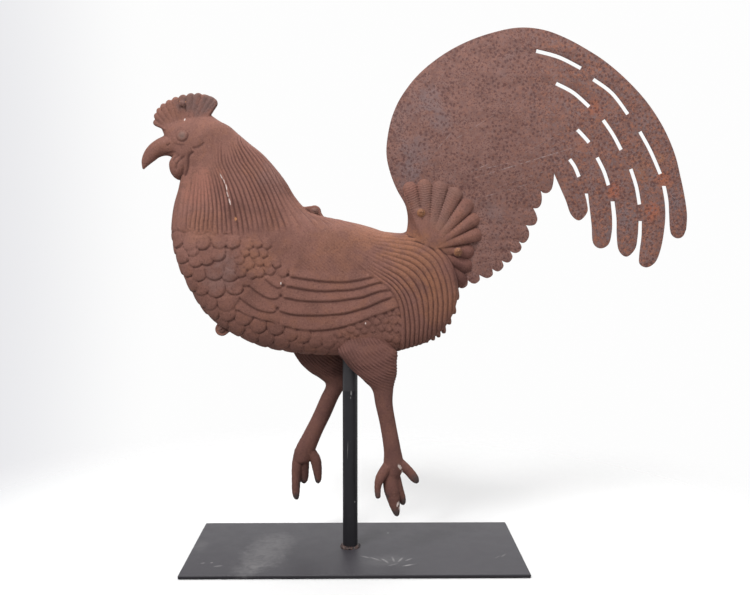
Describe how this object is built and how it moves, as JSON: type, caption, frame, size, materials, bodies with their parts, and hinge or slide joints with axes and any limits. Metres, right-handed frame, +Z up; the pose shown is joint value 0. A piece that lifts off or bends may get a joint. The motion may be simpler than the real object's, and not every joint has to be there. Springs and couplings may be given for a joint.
{
  "type": "rooster weathervane",
  "caption": "Full-bodied cast-iron rooster weathervane with a pierced sheet-iron tail, turning on a spindle in a post on a rectangular steel display base.",
  "frame": {"origin": "where the vertical turning axis meets the flat underside of the base plate", "axes": "+Z up along the turning axis, +X from the beak to the tail along the parting plane, +Y to the side that carries the nuts"},
  "size_m": [0.915, 0.254, 0.885],
  "materials": {
    "cast_body": "matte brown-red rust over a fine sand-cast grain",
    "tail_sheet": "matte rusted sheet iron, finely pitted",
    "painted_stand": "satin charcoal paint, lightly scuffed",
    "bare_steel": "turned bare steel",
    "bearing_bronze": "turned bearing bronze",
    "fasteners": "rusted iron"
  },
  "bodies": {
    "stand": {"base_plate": "painted_stand", "post_weld": "painted_stand", "stand_post": "painted_stand", "spindle_plug": "bare_steel", "pivot_spindle": "bare_steel"},
    "rooster": {"body_half_left": "cast_body", "body_half_right": "cast_body", "tail_plate": "tail_sheet", "pivot_tube": "bare_steel", "thrust_cap": "bearing_bronze", "belly_bush": "bearing_bronze", "comb_bolt": "fasteners", "comb_nut": "fasteners", "back_bolt": "fasteners", "back_nut": "fasteners", "breast_bolt": "fasteners", "breast_nut": "fasteners", "tail_bolt_upper": "fasteners", "tail_nut_upper": "fasteners", "tail_bolt_lower": "fasteners", "tail_nut_lower": "fasteners"}
  },
  "joints": [
    {"name": "vane_turn", "type": "hinge", "parent": "stand", "child": "rooster", "pos_m": [0, 0, 0.52], "axis": [0, 0, 1], "continuous": true}
  ]
}
